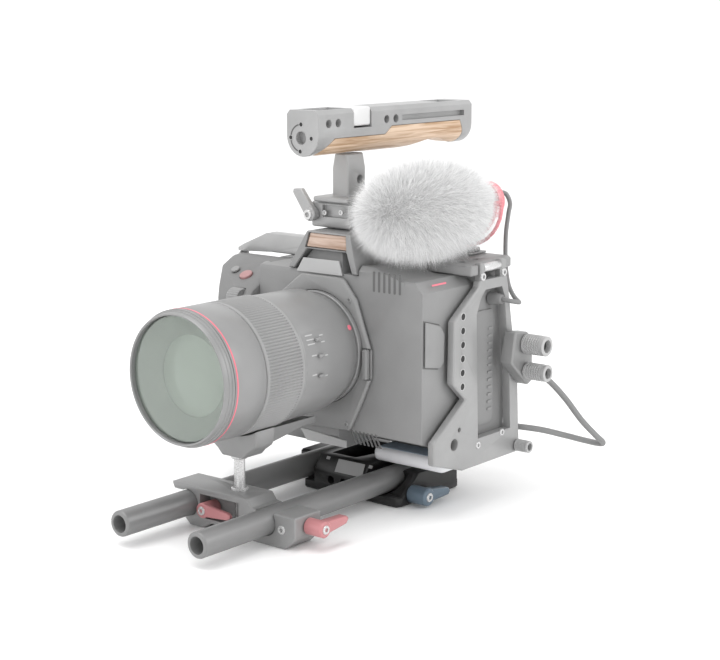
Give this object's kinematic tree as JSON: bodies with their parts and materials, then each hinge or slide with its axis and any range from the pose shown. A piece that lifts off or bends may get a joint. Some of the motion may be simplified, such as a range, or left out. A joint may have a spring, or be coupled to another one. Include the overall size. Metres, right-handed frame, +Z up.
{
  "type": "cinema camera rig",
  "caption": "Cinema camera in a cage on twin rods, with base plate, lens and its support, top handle, furry microphone and cables.",
  "frame": {"origin": "on the base plate's flat underside, midway between the rods and below the plate's middle, on the resting surface", "axes": "+Z up, -Y is the way the lens looks, +X is the camera's left-hand side"},
  "size_m": [0.2102, 0.2853, 0.2374],
  "materials": {
    "anodised_grey": "fine satin anodised",
    "rod_grey": "fine satin anodised",
    "moulded_grey": "fine pebbled",
    "lens_grey": "satin",
    "steel": "satin",
    "black_metal": "satin black anodised",
    "red_metal": "satin anodised",
    "blue_metal": "satin anodised",
    "pale_plate": "satin",
    "button_red": "satin",
    "red_plastic": "satin",
    "wood": "oiled, straight grain",
    "fur": "long synthetic fur",
    "cable_rubber": "matt",
    "lens_glass": "coated, polished",
    "sensor": "polished",
    "circuit_board": "matt"
  },
  "bodies": {
    "base": {"baseplate_body": "black_metal", "rod_left": "rod_grey", "rod_right": "rod_grey"},
    "base_lever": {"base_lever": "blue_metal"},
    "camera": {"quick_release_plate": "pale_plate", "cage_bottom": "anodised_grey", "cage_side_frame": "anodised_grey", "cage_top_plate": "anodised_grey", "cage_top_bar": "anodised_grey", "camera_front_housing": "moulded_grey", "camera_rear_housing": "moulded_grey", "grip": "moulded_grey", "mount_plate": "moulded_grey", "lens_mount_ring": "steel", "image_sensor": "sensor", "main_board": "circuit_board", "battery": "moulded_grey", "lens_rear_barrel": "lens_grey", "lens_front_barrel": "lens_grey", "lens_bezel": "lens_grey", "front_element": "lens_glass", "rear_glass_group": "lens_glass", "wooden_badge": "wood", "wedge_rail": "anodised_grey", "data_plug": "moulded_grey", "data_cable": "cable_rubber", "mic_body": "anodised_grey", "mic_windscreen": "fur", "mic_suspension": "red_plastic", "mic_plug": "moulded_grey", "mic_cable": "cable_rubber", "shoe_mount": "anodised_grey", "cable_clamp": "anodised_grey"},
    "fan": {"fan_rotor": "moulded_grey"},
    "screen": {"lcd_screen": "moulded_grey"},
    "record_button": {"record_button": "button_red"},
    "stills_button": {"stills_button": "moulded_grey"},
    "power_switch": {"power_switch": "moulded_grey"},
    "release_button": {"lens_release_button": "moulded_grey"},
    "wheel": {"control_wheel": "moulded_grey"},
    "flap": {"side_cover": "moulded_grey"},
    "focus_ring": {"focus_ring": "lens_grey"},
    "switch_1": {"lens_switch_1": "moulded_grey"},
    "switch_2": {"lens_switch_2": "moulded_grey"},
    "switch_3": {"lens_switch_3": "moulded_grey"},
    "handle": {"handle_clamp": "anodised_grey", "handle_post": "anodised_grey", "handle_body": "anodised_grey", "handle_wood_grip": "wood"},
    "handle_lever": {"clamp_lever": "anodised_grey"},
    "handle_button": {"handle_button": "steel"},
    "support": {"support_clamp": "anodised_grey"},
    "side_lever": {"support_side_lever": "red_metal"},
    "front_lever": {"support_front_lever": "red_metal"},
    "cradle": {"support_post": "steel", "lens_cradle": "anodised_grey"},
    "shoe_knob": {"shoe_knob": "anodised_grey"},
    "knob_upper": {"knob_upper": "anodised_grey"},
    "knob_lower": {"knob_lower": "anodised_grey"},
    "thumb_screw": {"bottom_thumb_screw": "anodised_grey"}
  },
  "joints": [
    {"name": "base_lever_turn", "type": "hinge", "parent": "base", "child": "base_lever", "pos_m": [0.054, -0.014, 0.007], "axis": [1, 0, 0], "range_deg": [0, 30]},
    {"name": "camera_slide", "type": "slide", "parent": "base", "child": "camera", "axis": [0, 1, 0], "range_m": [0, 0.02]},
    {"name": "fan_spin", "type": "hinge", "parent": "camera", "child": "fan", "pos_m": [0, 0.024, 0.044], "axis": [0, 0, 1], "continuous": true},
    {"name": "screen_tilt", "type": "hinge", "parent": "camera", "child": "screen", "pos_m": [0, 0.046, 0.1288], "axis": [1, 0, 0], "range_deg": [0, 60]},
    {"name": "record_press", "type": "slide", "parent": "camera", "child": "record_button", "axis": [0, 0.4535, -0.8913], "range_m": [0, 0.0005], "stiffness_N_per_m": 400},
    {"name": "stills_press", "type": "slide", "parent": "camera", "child": "stills_button", "axis": [0, 0.4535, -0.8913], "range_m": [0, 0.0005], "stiffness_N_per_m": 400},
    {"name": "power_slide", "type": "slide", "parent": "camera", "child": "power_switch", "axis": [1, 0, 0], "range_m": [0, 0.0015]},
    {"name": "lens_release_press", "type": "slide", "parent": "camera", "child": "release_button", "axis": [0, 1, 0], "range_m": [0, 0.0005], "stiffness_N_per_m": 400},
    {"name": "wheel_turn", "type": "hinge", "parent": "camera", "child": "wheel", "pos_m": [-0.061, -0.0492, 0.12], "axis": [1, 0, 0], "continuous": true},
    {"name": "flap_open", "type": "hinge", "parent": "camera", "child": "flap", "pos_m": [0.076, -0.0395, 0.104], "axis": [0, 0, 1], "range_deg": [-60, 0]},
    {"name": "focus_turn", "type": "hinge", "parent": "camera", "child": "focus_ring", "pos_m": [0, -0.107, 0.0962], "axis": [0, 1, 0], "continuous": true},
    {"name": "lens_switch_1_slide", "type": "slide", "parent": "camera", "child": "switch_1", "axis": [0, 1, 0], "range_m": [0, 0.0015]},
    {"name": "lens_switch_2_slide", "type": "slide", "parent": "camera", "child": "switch_2", "axis": [0, 1, 0], "range_m": [0, 0.0015]},
    {"name": "lens_switch_3_slide", "type": "slide", "parent": "camera", "child": "switch_3", "axis": [0, 1, 0], "range_m": [0, 0.0015]},
    {"name": "handle_slide", "type": "slide", "parent": "camera", "child": "handle", "axis": [1, 0, 0], "range_m": [-0.01, 0]},
    {"name": "handle_lever_turn", "type": "hinge", "parent": "handle", "child": "handle_lever", "pos_m": [-0.0145, -0.0325, 0.1735], "axis": [0, 1, 0], "range_deg": [-60, 0]},
    {"name": "handle_button_press", "type": "slide", "parent": "handle", "child": "handle_button", "axis": [0, 0, -1], "range_m": [0, 0.0005], "stiffness_N_per_m": 500},
    {"name": "support_slide", "type": "slide", "parent": "base", "child": "support", "axis": [0, 1, 0], "range_m": [-0.03, 0]},
    {"name": "side_lever_turn", "type": "hinge", "parent": "support", "child": "side_lever", "pos_m": [0.059, -0.115, 0.0127], "axis": [1, 0, 0], "range_deg": [0, 60]},
    {"name": "front_lever_turn", "type": "hinge", "parent": "support", "child": "front_lever", "pos_m": [-0.0155, -0.124, 0.0115], "axis": [0, 1, 0], "range_deg": [-90, 0]},
    {"name": "cradle_lift", "type": "slide", "parent": "support", "child": "cradle", "axis": [0, 0, 1], "range_m": [-0.003, 0]},
    {"name": "shoe_knob_turn", "type": "hinge", "parent": "camera", "child": "shoe_knob", "pos_m": [0.048, 0.04, 0.15], "axis": [0, 0, 1], "continuous": true},
    {"name": "knob_upper_turn", "type": "hinge", "parent": "camera", "child": "knob_upper", "pos_m": [0.1, 0.04, 0.0965], "axis": [1, 0, 0], "continuous": true},
    {"name": "knob_lower_turn", "type": "hinge", "parent": "camera", "child": "knob_lower", "pos_m": [0.1, 0.0415, 0.0797], "axis": [1, 0, 0], "continuous": true},
    {"name": "thumb_screw_turn", "type": "hinge", "parent": "camera", "child": "thumb_screw", "pos_m": [0.087, 0.046, 0.031], "axis": [1, 0, 0], "continuous": true}
  ]
}
